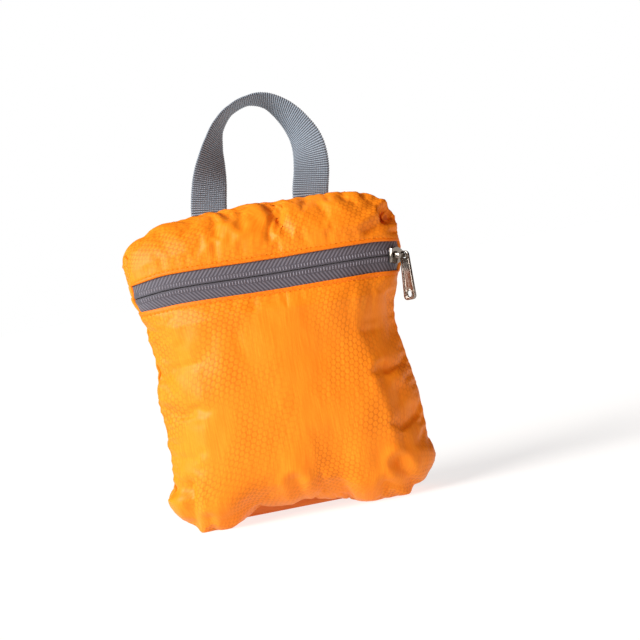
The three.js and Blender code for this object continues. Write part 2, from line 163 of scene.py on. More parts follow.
bpy.ops.object.select_all(action="DESELECT")
bpy.ops.mesh.primitive_plane_add(size=24)
floor = bpy.context.object
floor.name = "floor"
studio_paper, tree = new_material("studio_paper")
fibre = add(tree, "TexNoise", inputs={"Scale": 400.0, "Detail": 4.0})
finish(tree, fibre, 0.05, 0.2 * mm, {
    "Base Color": linear(paper), "Roughness": 0.95, "Specular IOR Level": 0.1,
    "Emission Color": white, "Emission Strength": paper_glow})
floor.data.materials.append(studio_paper)

# Form of the stuffed pouch: the outside of the cloth, drawn from the bottom seam to the top seam as level
# sections that are rounded rectangles. All cloth pieces and the zip take their places from it.
pouch_width = 150 * mm
pouch_height = 172 * mm
pouch_depth = 60 * mm
zip_height = 132 * mm
squareness = 2.6
bottom_seam_back = 6 * mm
side_seam_forward = {"left": 8 * mm, "right": 3 * mm}
pouch_middle = np.array((-1.28, 0.13, 0)) * mm
side_profile = {
    "path": (0, 0.05, 0.10, 0.14, 0.19, 0.28, 0.41, 0.55, 0.67, 0.77, 0.86, 0.93, 0.98, 1),
    "level": (0, 0, 0, 0.03, 0.09, 0.24, 0.50, 0.78, 1, 1.35, 1.65, 1.88, 2, 2),
    "depth": (0, 0.34, 0.63, 0.79, 0.91, 0.99, 1, 0.95, 0.87, 0.74, 0.55, 0.33, 0.09, 0),
    "behind": (1, 0.8, 0.6, 0.4, 0.2, 0, 0, 0, 0, 0, 0, 0, 0, 0),
}
side_edges = {
    "height": (0.04, 0.07, 0.11, 0.17, 0.28, 0.44, 0.54, 0.67, 0.77, 0.88),
    "left": (0.91, 0.97, 1.01, 0.95, 0.94, 0.95, 0.92, 0.95, 1.00, 1.02),
    "right": (0.88, 0.94, 0.98, 0.95, 0.95, 0.91, 0.88, 0.94, 1.01, 1.01),
}
bottom_line = {
    "across": (-1, -0.86, -0.67, -0.37, 0.05, 0.56, 0.80, 1),
    "floor": (0.044, 0, 0, 0.038, 0.038, 0, 0, 0.040),
}
zip_line = {
    "across": (-1, -0.65, 0, 0.8, 1),
    "zip": (0, 0.011, 0.001, -0.008, -0.018),
}
top_line = {
    "across": (-1, -0.97, -0.92, -0.83, -0.64, -0.10, 0.25, 0.56, 0.82, 0.93, 1),
    "top": (0.878, 0.908, 0.935, 0.957, 0.988, 1, 0.994, 0.988, 0.964, 0.930, 0.878),
}
seam_line = {
    "height": (0, 0.05, 0.14, 0.24, 0.78, 0.88, 0.94, 0.98, 1),
    "forward": (0, 0.15, 0.80, 1, 1, 0.60, 0.30, 0.10, 0),
    "behind": (1, 0.7, 0.1, 0, 0, 0, 0, 0, 0),
}
broad_folds = {
    "side": (1, 1, 1, 1, 1, 1, 1, 1, 1, -1, -1, -1, -1, -1),
    "across": (-0.82, -0.30, 0.28, 0.62, 0.45, 0.80, -0.75, 0.10, 0.84, -0.40, 0.45, 0, -0.60, 0.55),
    "height": (0.09, 0.06, 0.12, 0.10, 0.50, 0.62, 0.60, 0.92, 0.88, 0.15, 0.22, 0.55, 0.80, 0.86),
    "wide": (0.14, 0.22, 0.18, 0.14, 0.30, 0.14, 0.16, 0.14, 0.14, 0.25, 0.22, 0.50, 0.22, 0.20),
    "tall": (0.10, 0.10, 0.14, 0.10, 0.16, 0.14, 0.12, 0.08, 0.05, 0.14, 0.16, 0.16, 0.12, 0.10),
    "depth": (0.06, 0.07, 0.065, 0.055, 0.05, 0.08, 0.04, 0.055, 0.06, 0.06, 0.06, 0.045, 0.055, 0.05),
}


def read_table(table, key, column, at):
    """Reads one column of a table on a smooth curve that never overshoots its rows."""
    keys = np.array(table[key], float)
    values = np.array(table[column], float)
    secants = np.diff(values) / np.diff(keys)
    before, after = secants[:-1], secants[1:]
    turns = before * after <= 0
    slopes = 2 * before * after / np.where(turns, 1, before + after)
    slopes = np.concatenate([secants[:1], np.where(turns, 0, slopes), secants[-1:]])
    at = np.clip(at, keys[0], keys[-1])
    i = np.clip(np.searchsorted(keys, at, side="right") - 1, 0, len(keys) - 2)
    span = keys[i + 1] - keys[i]
    share = (at - keys[i]) / span
    square, cube = share ** 2, share ** 3
    ends = (2 * cube - 3 * square + 1) * values[i] + (3 * square - 2 * cube) * values[i + 1]
    return ends + ((cube - 2 * square + share) * slopes[i] + (cube - square) * slopes[i + 1]) * span


def profile(column, path):
    """A column of the side profile at a path from the bottom seam to the top seam."""
    return read_table(side_profile, "path", column, path)


def zip_line_height(across):
    """Height of the zip's slit at a share of the way from the middle to the side."""
    return zip_height + read_table(zip_line, "across", "zip", across) * pouch_height


def rounded(share):
    """A cosine or sine bent from a circle onto the rounded rectangle of a section."""
    return np.sign(share) * np.abs(share) ** (2 / squareness)


def level_height(across, level):
    """Height of a level: 0 is the bottom line, 1 the zip and 2 the top line."""
    low = read_table(bottom_line, "across", "floor", across) * pouch_height
    high = read_table(top_line, "across", "top", across) * pouch_height
    middle = zip_line_height(across)
    return np.where(level < 1, low + (middle - low) * level, middle + (high - middle) * (level - 1))


def pouch_point(turn, path, inset=0.0):
    """Points of the form. turn runs from the right edge over the front and back round, path from the
    bottom seam to the top seam, and inset moves the point into the pouch."""
    across = rounded(np.cos(turn))
    bulge = np.abs(rounded(np.sin(turn)))
    side = np.where(np.sin(turn) > 0, 1, -1)
    level = profile("level", path)
    depth = profile("depth", path)
    height = level_height(across, level)
    share = height / pouch_height
    left = read_table(side_edges, "height", "left", share)
    edge = np.where(across < 0, left, read_table(side_edges, "height", "right", share))
    dents = np.zeros_like(height)
    for row in zip(*broad_folds.values()):
        fold_side, fold_across, fold_height, wide, tall, fold_depth = row
        reach = ((across - fold_across) / wide) ** 2 + ((share - fold_height) / tall) ** 2
        dents += np.where(side == fold_side, fold_depth * pouch_depth * np.exp(-reach), 0)
    middle = profile("behind", path) * bottom_seam_back
    outward = bulge * depth * (pouch_depth / 2 - inset - dents)
    x = across * edge * (pouch_width / 2 - inset)
    return np.stack([x, middle - side * outward, height + inset * (1 - level)], axis=-1) + pouch_middle


# Cloth of the pouch: one thin skin of coated ripstop nylon, cut as a front below the zip, a front above
# it and a back, sewn at the sides, top and bottom. First the whole skin is laid over the form as a net
# whose columns end at the side seams and whose rows follow the hems of the zip.
hem = 8.25 * mm
tape_taper = {"across": (-1.10, -0.92, -0.70, 0.80, 1.10), "share": (0.78, 0.92, 1, 1, 0.92)}
front_columns = 68
rows_below = 60
rows_zip = 6
rows_above = 18
net_rows = rows_below + rows_zip + rows_above
net_columns = 2 * front_columns
zip_path = 0.67
belly_path = 0.41
upright_paths = (0.12, 0.97)
thin_edge = 12 * mm
away_share = 0.3


def hem_height(x, side):
    """Height of a hem's fold edge, above the zip with side 1 and below it with side -1."""
    across = (x - pouch_middle[0]) / (pouch_width / 2)
    return zip_line_height(across) + side * hem * read_table(tape_taper, "across", "share", across)


def path_at(turn, height):
    """The path at which a column of the form reaches a height."""
    across = rounded(np.cos(turn))
    paths = np.linspace(*upright_paths, 400)
    levels = profile("level", paths)
    low = level_height(across, np.zeros_like(across))
    middle = level_height(across, np.ones_like(across))
    high = level_height(across, np.full_like(across, 2))
    below = (height - low) / (middle - low)
    above = 1 + (height - middle) / (high - middle)
    return np.interp(np.where(height < middle, below, above), levels, paths)


def seam_turn(path, half):
    """How far round from the side edge towards the front the side seam lies."""
    level = profile("level", path)
    edge = np.full_like(path, 1 if half == "right" else -1)
    share = level_height(edge, level) / pouch_height
    seam = read_table(seam_line, "height", "behind", share) * bottom_seam_back
    seam -= read_table(seam_line, "height", "forward", share) * side_seam_forward[half]
    middle = profile("behind", path) * bottom_seam_back
    depth = profile("depth", path) * pouch_depth / 2
    bulge = np.clip((middle - seam) / np.maximum(depth, thin_edge / 3), 0, 0.9)
    bulge = bulge * np.clip(depth / thin_edge, 0, 1)
    return np.arcsin(bulge ** (squareness / 2))


def even_turns(count):
    """Shares of a half turn that space points evenly along the belly's section."""
    turns = np.linspace(0, math.pi, 2001)
    section = pouch_point(turns, np.full_like(turns, belly_path))
    steps = np.linalg.norm(np.diff(section, axis=0), axis=1)
    lengths = np.concatenate([[0], np.cumsum(steps)])
    return np.interp(np.linspace(0, lengths[-1], count + 1), lengths, turns) / math.pi


share = even_turns(front_columns)


def net_turns(path, column_share, is_front):
    """Where the columns of the net lie round the form, evenly between its side seams."""
    right = seam_turn(path, "right")
    left = seam_turn(path, "left")
    front = right + column_share * (math.pi - left - right)
    back = math.pi - left + column_share * (math.pi + left + right)
    return np.where(is_front, front, back)


column_share = np.concatenate([share[:-1], share[:-1]])
is_front = np.arange(net_columns) < front_columns
zip_turn = net_turns(np.full(net_columns, zip_path), column_share, is_front)
zip_x = pouch_point(zip_turn, np.full(net_columns, zip_path))[:, 0]
low_path = path_at(zip_turn, hem_height(zip_x, -1))
high_path = path_at(zip_turn, hem_height(zip_x, 1))
below = np.linspace(0, 1, rows_below + 1)[:-1, None] * low_path
across_zip = low_path + np.linspace(0, 1, rows_zip + 1)[:-1, None] * (high_path - low_path)
above = high_path + np.linspace(0, 1, rows_above + 1)[:, None] * (1 - high_path)
net_path = np.concatenate([below, across_zip, above])
net_turn = net_turns(net_path, column_share, is_front)
net = pouch_point(net_turn, net_path)


def outward_normals(points, cell_area):
    """Outward unit normals of a net that closes round its columns. Where cells shrink to nothing at the
    corners, they point away from the pouch's middle."""
    along = np.roll(points, -1, axis=1) - np.roll(points, 1, axis=1)
    up = np.gradient(points, axis=0)
    normals = np.cross(up, along)
    for row in (0, -1):
        normals[row] = normals[row] + np.roll(normals[row][::-1], 1, axis=0)
    away = points - pouch_middle - (0, 0, pouch_height / 2)
    normals += away_share * cell_area * away / np.linalg.norm(away, axis=-1, keepdims=True)
    return normals / np.linalg.norm(normals, axis=-1, keepdims=True)


# Creases that the stuffing and the seams press into the cloth, each a soft valley with low shoulders
# between two points seen from the front. Lengths are millimetres from the pouch's own middle and floor.
front_creases = [
    # from x, from z, to x, to z, width, depth
    (-8, 172, -7, 161, 2.6, 2.6),
    (-3.5, 168, 4, 159, 4.5, 1.2),
    (9, 172, 15, 154, 3.2, 3.2),
    (71, 154, 76, 149, 2.4, 3.4),
    (72, 152, 62, 164, 3.0, 2.8),
    (71, 154, 73, 138, 3.0, 2.6),
    (60, 145, 72, 152, 3.2, 3.2),
    (46, 171, 60, 158, 3.6, 1.6),
    (-16, 172, -8, 160, 2.4, 1.6),
    (66, 138, 70, 150, 4.0, 1.4),
    (-55, 168, -50, 156, 5.0, 1.2),
    (34, 170, 40, 152, 5.5, 1.0),
    (-71, 115, -58, 110, 3.0, 1.8),
    (-72, 99, -60, 103, 3.0, 1.0),
    (-69, 92, -61, 80, 3.2, 1.9),
    (-34, 106, -36, 92, 4.5, 0.8),
    (-41, 96, -42, 84, 4.5, 0.7),
    (-20, 104, -14, 70, 7.0, 0.9),
    (-72, 26, -63, 25, 2.8, 2.0),
    (-61, 28, -63, 4, 3.4, 2.6),
    (-54, 8, -54, 0, 3.0, 1.6),
    (-42, 6, -8, 20, 5.5, 1.6),
    (-4, 20, -2, 4, 3.6, 2.4),
    (20, 14, 24, 2, 4.5, 1.4),
    (54, 70, 56, 52, 3.6, 1.6),
    (61, 58, 57, 22, 3.6, 1.8),
    (66, 46, 65, 28, 3.0, 1.4),
    (52, 20, 60, 2, 3.4, 3.4),
    (44, 9, 58, 2, 3.4, 1.8),
    (56, 116, 52, 92, 4.2, 1.4),
    (64, 108, 61, 86, 3.6, 1.8),
    (44, 118, 40, 100, 5.0, 0.9),
    (24, 122, 22, 104, 5.0, 0.7),
    (-8, 124, -10, 108, 5.0, 0.6),
    (-46, 124, -48, 112, 5.0, 0.6),
]
back_creases = [
    (-60, 168, -48, 140, 5.0, 2.0),
    (-8, 172, -6, 152, 4.0, 2.4),
    (12, 172, 20, 146, 4.5, 2.2),
    (58, 168, 50, 148, 4.5, 2.0),
    (-72, 120, -40, 112, 6.0, 1.6),
    (72, 110, 44, 96, 6.0, 1.8),
    (-70, 60, -46, 70, 5.0, 1.6),
    (70, 50, 48, 62, 5.0, 1.6),
    (-58, 24, -54, 2, 4.0, 2.4),
    (-20, 26, -24, 4, 5.0, 1.8),
    (26, 24, 22, 4, 5.0, 2.0),
    (56, 26, 58, 2, 4.0, 2.4),
    (-30, 96, 22, 80, 8.0, 1.0),
]

crease_tail = 0.6
valley = {"height": 1.15, "power": 1.35}
shoulder = {"height": 0.36, "off": 1.9, "wide": 0.8}


def crease_depth(points, creases):
    """How deep all creases press at points, in metres."""
    flat = (points - pouch_middle)[..., (0, 2)] / mm
    depth = np.zeros(flat.shape[:-1])
    for x0, z0, x1, z1, width, deep in creases:
        run = np.array((x1 - x0, z1 - z0), float)
        length = np.hypot(*run)
        offset = flat - (x0, z0)
        along = offset @ run / length ** 2
        aside = (offset[..., 0] * run[1] - offset[..., 1] * run[0]) / length
        beyond = np.maximum(np.abs(along - 0.5) - 0.5, 0) * length
        gap = np.sqrt(aside ** 2 + beyond ** 2) / width
        tail = 1 - crease_tail * np.clip(along, 0, 1)
        pressed = valley["height"] * np.exp(-gap ** valley["power"])
        raised = shoulder["height"] * np.exp(-((gap - shoulder["off"]) / shoulder["wide"]) ** 2)
        depth += deep * tail * (pressed - raised)
    return depth * mm


def soft_noise(points, size, seed):
    """Smooth noise of about -1 to 1 at points, its lumps about a size apart."""
    flat = points.reshape(-1, 3) / size + seed
    return np.array([noise.noise(Vector(p)) for p in flat]).reshape(points.shape[:-1])


def net_places():
    """Which points of the net are on the front, and how many rows each row lies from the zip's hems."""
    on_front = np.zeros((net_rows + 1, net_columns), bool)
    on_front[:, :front_columns + 1] = True
    zip_gap = np.abs(np.arange(net_rows + 1) - rows_below - rows_zip / 2)[:, None] - rows_zip / 2
    return on_front, zip_gap


coarse_cell = 2.5 * mm
hem_reach = 5
lump_sizes = (
    # height, distance apart, seed
    (0.5 * mm, 25 * mm, 7.0),
    (0.15 * mm, 9 * mm, 3.0),
)
on_front, zip_gap = net_places()
free = np.where(on_front, np.clip(zip_gap / hem_reach, 0, 1), 1)[..., None]
lumps = sum(height * soft_noise(net, size, seed) for height, size, seed in lump_sizes)
net = net + outward_normals(net, coarse_cell ** 2) * lumps[..., None] * free

# The skin is then sewn up and blown out in a short cloth simulation. The seams and hems are held, the
# cloth is a little larger than the form, and so it puckers along them as gathered nylon does.
growth = 0.04
pressure = 3.0
blow_frames = 26
enlarged = 10
travel = 4.0 * mm
welded = np.arange((net_rows + 1) * net_columns).reshape(net_rows + 1, net_columns)
for row in (0, net_rows):
    welded[row, front_columns + 1:] = welded[row, 1:front_columns][::-1]


def net_faces(index, closed=False):
    """Quads of a net of vertex numbers, their faces outwards."""
    nxt = np.roll(index, -1, axis=1) if closed else index[:, 1:]
    now = index if closed else index[:, :-1]
    return np.stack([now[:-1], now[1:], nxt[1:], nxt[:-1]], axis=-1).reshape(-1, 4)


def add_mesh(name, points, faces, ends=(), flat=None):
    """A smooth piece from points, quads and end faces. Its flat layout in metres, a pair of grids, becomes
    its UV map."""
    mesh = bpy.data.meshes.new(name)
    mesh.from_pydata(points.reshape(-1, 3).tolist(), [], faces.tolist() + [end.tolist() for end in ends])
    mesh.polygons.foreach_set("use_smooth", [True] * len(mesh.polygons))
    if flat is not None:
        flat = np.stack(np.broadcast_arrays(*flat), axis=-1).reshape(-1, 2)
        layer = mesh.uv_layers.new(name="flat")
        layer.data.foreach_set("uv", flat[np.concatenate([faces.ravel(), *ends])].ravel())
    piece = bpy.data.objects.new(name, mesh)
    bpy.context.scene.collection.objects.link(piece)
    return piece


def blow_out(points):
    """Points of the net after the cloth simulation."""
    used, inverse = np.unique(welded, return_inverse=True)
    inverse = inverse.reshape(welded.shape)
    skin = add_mesh("skin", points.reshape(-1, 3)[used] * enlarged, net_faces(inverse, True))
    held = np.zeros(welded.shape, bool)
    held[rows_below:rows_below + rows_zip + 1, :front_columns + 1] = True
    held[:, (0, front_columns)] = True
    held[(0, net_rows), :] = True
    sewn = skin.vertex_groups.new(name="sewn")
    sewn.add(np.unique(inverse[held]).tolist(), 1.0, "REPLACE")
    cloth = skin.modifiers.new("cloth", "CLOTH")
    nylon = {
        "quality": 6, "mass": 0.3, "tension_stiffness": 40, "compression_stiffness": 40,
        "shear_stiffness": 5, "bending_stiffness": 0.01, "vertex_group_mass": "sewn",
        "pin_stiffness": 1.0, "use_pressure": True, "uniform_pressure_force": pressure,
        "shrink_min": -growth}
    for setting, value in nylon.items():
        setattr(cloth.settings, setting, value)
    cloth.settings.effector_weights.gravity = 0
    cloth.collision_settings.use_collision = False
    cloth.point_cache.frame_end = blow_frames
    scene = bpy.context.scene
    for blow in range(1, blow_frames + 1):
        scene.frame_set(blow)
    blown = skin.evaluated_get(bpy.context.evaluated_depsgraph_get())
    found = np.zeros(len(used) * 3)
    blown.data.vertices.foreach_get("co", found)
    bpy.data.objects.remove(skin)
    scene.frame_set(1)
    moved = found.reshape(-1, 3)[inverse] / enlarged - points
    distance = np.linalg.norm(moved, axis=-1, keepdims=True)
    return points + free * moved * np.minimum(1, travel / np.maximum(distance, 1e-9))


net = blow_out(net)


def refine(field):
    """The net with twice as many rows and columns, its new points on smooth curves."""
    padded = np.concatenate([2 * field[:1] - field[1:2], field, 2 * field[-1:] - field[-2:-1]])
    halfway = (9 * (padded[1:-2] + padded[2:-1]) - padded[:-3] - padded[3:]) / 16
    taller = np.empty((2 * len(field) - 1,) + field.shape[1:])
    taller[::2], taller[1::2] = field, halfway
    beside = taller + np.roll(taller, -1, axis=1)
    halfway = (9 * beside - np.roll(taller, 1, axis=1) - np.roll(taller, -2, axis=1)) / 16
    wider = np.empty((len(taller), 2 * taller.shape[1], 3))
    wider[:, ::2], wider[:, 1::2] = taller, halfway
    return wider


# Creases and small crumples go into a net twice as fine, and fade out beside the seams and the hems.
cell = coarse_cell / 2
crumple_depth = 0.3 * mm
crumple_stretch = (1.5, 1.5, 0.6)
crumple_size = 12 * mm
wrinkle_size = 6 * mm
crease_fade = 5
crumple_fade = 8
net = refine(net)
rows_below, rows_zip, net_rows = 2 * rows_below, 2 * rows_zip, 2 * net_rows
front_columns, net_columns = 2 * front_columns, 2 * net_columns
on_front, zip_gap = net_places()
normals = outward_normals(net, cell ** 2)
pressed = np.where(on_front, crease_depth(net, front_creases), crease_depth(net, back_creases))
upright = (net - pouch_middle) * crumple_stretch
crumple = np.abs(soft_noise(upright, crumple_size, 21.0)) + 0.5 * np.abs(soft_noise(net, wrinkle_size, 9.0))
to_seam = np.minimum(np.arange(net_rows + 1), net_rows - np.arange(net_rows + 1))[:, None]
off_zip = np.where(on_front, np.clip((zip_gap - 2) / crumple_fade, 0, 1), 1)
pressed = pressed * np.clip((to_seam - 1) / crease_fade, 0, 1)
pressed = pressed + crumple_depth * crumple * np.clip((to_seam - 1) / crumple_fade, 0, 1)
net = net - normals * (pressed * off_zip)[..., None]
net[:, :, 2] = np.maximum(net[:, :, 2], 0.0)
normals = outward_normals(net, cell ** 2)
for smoothing in range(3):
    beside = np.roll(normals, 1, axis=1) + np.roll(normals, -1, axis=1)
    normals[1:-1] = (2 * normals[1:-1] + beside[1:-1] + normals[:-2] + normals[2:]) / 6
    normals /= np.linalg.norm(normals, axis=-1, keepdims=True)

# Each panel is cut from the blown net. Its edges at the seams turn in as seam allowances, and the two
# edges at the zip are folded under and stitched down 2.5 mm from the fold.
cloth_thickness = 0.5 * mm
least_step = 0.4
allowance = [(0, 3.2 * mm), (0, 1.3 * mm), (0.2, 0.55 * mm), (0.6, 0.2 * mm), (1.2, 0.05 * mm), (2, 0)]
hem_fold = [
    # from the fold edge, into the pouch
    (4.0 * mm, 1.35 * mm), (0.8 * mm, 1.35 * mm), (0.1 * mm, 1.1 * mm), (0, 0.7 * mm),
    (0.1 * mm, 0.25 * mm), (0.5 * mm, 0), (1.5 * mm, 0), (2.1 * mm, 0.12 * mm),
    (2.5 * mm, 0.35 * mm), (2.9 * mm, 0.12 * mm), (3.6 * mm, 0),
]


def sample(field, rows, columns):
    """Reads a closed net at rows and columns that may lie between its own."""
    low_row = np.clip(np.floor(rows).astype(int), 0, net_rows - 1)
    row_share = (rows - low_row)[:, None, None]
    low_column = np.floor(columns).astype(int)
    column_part = (columns - low_column)[None, :, None]
    a, b = low_column % net_columns, (low_column + 1) % net_columns
    lower = field[low_row][:, a] * (1 - column_part) + field[low_row][:, b] * column_part
    upper = field[low_row + 1][:, a] * (1 - column_part) + field[low_row + 1][:, b] * column_part
    return lower * (1 - row_share) + upper * row_share


def edge_steps(first, last, start, end):
    """Places along a panel and how deep each lies, with an edge finish at both ends."""
    places = [(first + at, deep) for at, deep in start]
    inner = np.arange(math.ceil(places[-1][0] + least_step), math.floor(last - end[-1][0] - least_step) + 1)
    places += [(float(at), 0) for at in inner]
    places += [(last - at, deep) for at, deep in reversed(end)]
    at, deep = np.array(places, float).T
    return at, deep


def add_wall(name, points, flat, thickness):
    """A sheet from a grid of its outer points, thickened inwards."""
    index = np.arange(points.shape[0] * points.shape[1]).reshape(points.shape[:2])
    piece = add_mesh(name, points, net_faces(index), flat=flat)
    wall = piece.modifiers.new("wall", "SOLIDIFY")
    wall.thickness = thickness
    wall.offset = -1
    return piece


def cut_panel(name, rows, row_depth, columns, column_depth):
    """A panel of cloth as a closed thin wall, with its flat layout in metres as its UV map."""
    points = sample(net, rows, columns)
    outward = sample(normals, rows, columns)
    outward /= np.maximum(np.linalg.norm(outward, axis=-1, keepdims=True), 1e-9)
    deep = np.maximum(row_depth[:, None], column_depth[None, :])
    flat = (columns[None, :] * cell, rows[:, None] * cell)
    return add_wall(name, points - outward * deep[..., None], flat, cloth_thickness)


hem_steps = [(at / cell, deep) for at, deep in hem_fold]
front_across, front_deep = edge_steps(0, front_columns, allowance, allowance)
back_across, back_deep = edge_steps(front_columns, net_columns, allowance, allowance)
low_rows, low_deep = edge_steps(0, rows_below, allowance, hem_steps)
high_rows, high_deep = edge_steps(rows_below + rows_zip, net_rows, hem_steps, allowance)
back_rows, back_row_deep = edge_steps(0, net_rows, allowance, allowance)

front_lower = cut_panel("front_lower", low_rows, low_deep, front_across, front_deep)
front_upper = cut_panel("front_upper", high_rows, high_deep, front_across, front_deep)
back = cut_panel("back", back_rows, back_row_deep, back_across, back_deep)

# Ripstop nylon: filament yarn woven with a stouter yarn that draws a honeycomb of cells about 3 mm apart,
# dyed orange and coated. It has a satin surface, cells that stand out in patches and a faint slub.
ripstop_orange = "#ec7f12"
ripstop_line = "#c46006"
ripstop_light = "#f79a22"
# painted shade: the deeper orange of the hem band between each fold and its stitches
ripstop_hem_shade = "#ea6404"
ripstop_waves = ((-199, 295), (-352, -114))
ripstop_wave_shares = (1.0, 1.0, 0.85)
ripstop_patch = 34 * mm
slub_width = 0.7 * mm
slub_length = 14 * mm


def ripstop_nylon(name, hemmed):
    """A material of ripstop nylon that reads the cloth's flat layout. Where it is hemmed, the band between
    each fold and its stitches is painted a deeper orange, as painted shade of the hem's groove and layered
    cloth."""
    material, tree = new_material(name)
    flat = add(tree, "UVMap", {"uv_map": "flat"})
    phases = []
    for wave in ripstop_waves:
        turns = (2 * math.pi * wave[0], 2 * math.pi * wave[1], 0)
        phases.append(add(tree, "VectorMath", {"operation": "DOT_PRODUCT"}, {0: flat, 1: turns}, output=1))
    phases.append(combine(tree, "SUBTRACT", *phases))
    cells = 0.0
    for phase, share in zip(phases, ripstop_wave_shares):
        cells = combine(tree, "MULTIPLY_ADD", combine(tree, "COSINE", phase), share, cells)
    crossing = fit(tree, cells, -1.1, -0.2, 1.0, 0.0, "SMOOTHSTEP")
    patches = fit(tree, grain(tree, flat, ripstop_patch, 1.0), 0.40, 0.62, 0.12, 1.0)
    shown = combine(tree, "MULTIPLY", crossing, patches)
    long = add(tree, "Mapping", inputs={
        "Vector": flat, "Scale": (1 / slub_width, 1 / slub_length, 1 / slub_length)})
    slub = grain(tree, long, 1, 2.0)
    dyed = mix(tree, fit(tree, slub, 0.35, 0.7, 0.0, 0.55), ripstop_orange, ripstop_light)
    colour = mix(tree, combine(tree, "MULTIPLY", shown, 0.55), dyed, ripstop_line)
    if hemmed:
        across = add(tree, "SeparateXYZ", inputs={0: flat}, output=1)
        off_zip = combine(tree, "SUBTRACT", across, (rows_below + rows_zip / 2) * cell)
        off_zip = combine(tree, "ABSOLUTE", off_zip)
        fold = rows_zip / 2 * cell
        # painted shade: the band from each fold to its stitches is darkened to a deeper orange
        band = fit(tree, off_zip, fold + 2.4 * mm, fold + 2.8 * mm, 0.35, 0.0, "SMOOTHSTEP")
        colour = mix(tree, band, colour, ripstop_hem_shade)
    puff = combine(tree, "MULTIPLY", shown, -0.09)
    height = combine(tree, "ADD", puff, combine(tree, "MULTIPLY", slub, 0.10))
    finish(tree, height, 0.6, 1 * mm, {"Base Color": colour, "Roughness": 0.48, "Specular IOR Level": 0.17})
    return material


hemmed_nylon = ripstop_nylon("hemmed_ripstop_nylon", True)
plain_nylon = ripstop_nylon("ripstop_nylon", False)
panels = (
    # panel, node, material, rows, columns
    (front_lower, "front_panel_lower", hemmed_nylon, low_rows, front_across),
    (front_upper, "front_panel_upper", hemmed_nylon, high_rows, front_across),
    (back, "back_panel", plain_nylon, back_rows, back_across),
)
for panel, node, nylon, rows, columns in panels:
    panel.data.materials.append(nylon)
    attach(panel, "pouch")
    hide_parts(node)

# Stuffing: the rest of the backpack, folded up behind the cloth. It fills the skin, leaves room for the
# zip and is hidden but for a strip of its bottom end, which shows under the arch. Its nylon is layered
# and a little darker.
stuffing_inset = 2.0 * mm
zip_room = 7.2 * mm
thinned = 4
rim_reach = 8
stuffing_dark = "#c9620e"
stuffing_light = "#e8801c"


def add_tube(name, rings, flat=None):
    """A closed piece from rings of points, with a face over each end."""
    index = np.arange(rings.shape[0] * rings.shape[1]).reshape(rings.shape[:2])
    return add_mesh(name, rings, net_faces(index, True), (index[0], index[-1][::-1]), flat)


zip_near = np.exp(-(np.maximum(zip_gap - 2, 0) / 4) ** 2)
inset = stuffing_inset + (zip_room - stuffing_inset) * np.where(on_front, zip_near, 0)
inner = net - normals * inset[..., None]
rim = np.clip(to_seam / rim_reach, 0.2, 1)[..., None]
centre = (inner + np.roll(inner[:, ::-1], 1, axis=1)) / 2
inner = centre + (inner - centre) * rim
stuffing = add_tube("stuffing", inner[thinned:net_rows - thinned + 1:thinned, ::thinned])
stuffing.data.shade_flat()
folded_nylon, tree = new_material("folded_nylon")
place = add(tree, "TexCoord", output=3)
stretched = add(tree, "Mapping", inputs={"Vector": place, "Scale": (60, 60, 260)})
layers = grain(tree, stretched, 1, 3.0)
finish(tree, layers, 0.8, 2 * mm, {
    "Base Color": mix(tree, layers, stuffing_dark, stuffing_light), "Roughness": 0.6})
stuffing.data.materials.append(folded_nylon)
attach(stuffing, "pouch")
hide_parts("folded_pack")
for panel, node, nylon, rows, columns in panels:
    flat = ((columns.max() - columns.min()) * cell, (rows.max() - rows.min()) * cell)

# Zip tapes: two woven polyester tapes that meet at a slit, with the coil sewn behind them. Each is
# tucked under its hem, bulges over the coil and turns in at the slit.
tape_inset = 1.5 * mm
tape_thickness = 0.7 * mm
tape_columns = 150
tape_rows = [
    # from the slit's middle, outwards
    (0.10 * mm, -0.65 * mm), (0.16 * mm, -0.1 * mm), (0.4 * mm, 0.2 * mm), (0.9 * mm, 0.36 * mm),
    (2.0 * mm, 0.38 * mm), (3.0 * mm, 0.2 * mm), (4.0 * mm, 0.05 * mm), (5.5 * mm, 0), (7.0 * mm, 0),
    (8.6 * mm, 0), (10 * mm, -0.05 * mm), (11.2 * mm, -0.1 * mm),
]


def on_zip(turn, away, rise, inset=tape_inset):
    """Points of the zip: away from the slit's middle, up positive, and rise out of the tape's own face."""
    flat = pouch_point(turn, np.full_like(turn, zip_path), inset)
    height = zip_line_height((flat[:, 0] - pouch_middle[0]) / (pouch_width / 2)) + away
    return pouch_point(turn, path_at(turn, height), inset - rise)


front_turns = net_turns(np.full(tape_columns + 1, zip_path), even_turns(tape_columns), True)
zip_run = np.linalg.norm(np.diff(on_zip(front_turns, 0 * mm, 0), axis=0), axis=1)
zip_run = np.concatenate([[0], np.cumsum(zip_run)])
zip_length = zip_run[-1]


def weave_tape(name, side):
    """One tape, above the slit with side 1 and below it with side -1."""
    rows = np.array(tape_rows if side > 0 else tape_rows[::-1])
    points = np.array([on_zip(front_turns, side * away, rise) for away, rise in rows])
    tape = add_wall(name, points, (zip_run[None, :], side * rows[:, :1]), tape_thickness)
    smooth = tape.modifiers.new("smooth", "SUBSURF")
    smooth.levels = 1
    smooth.render_levels = 1
    return tape
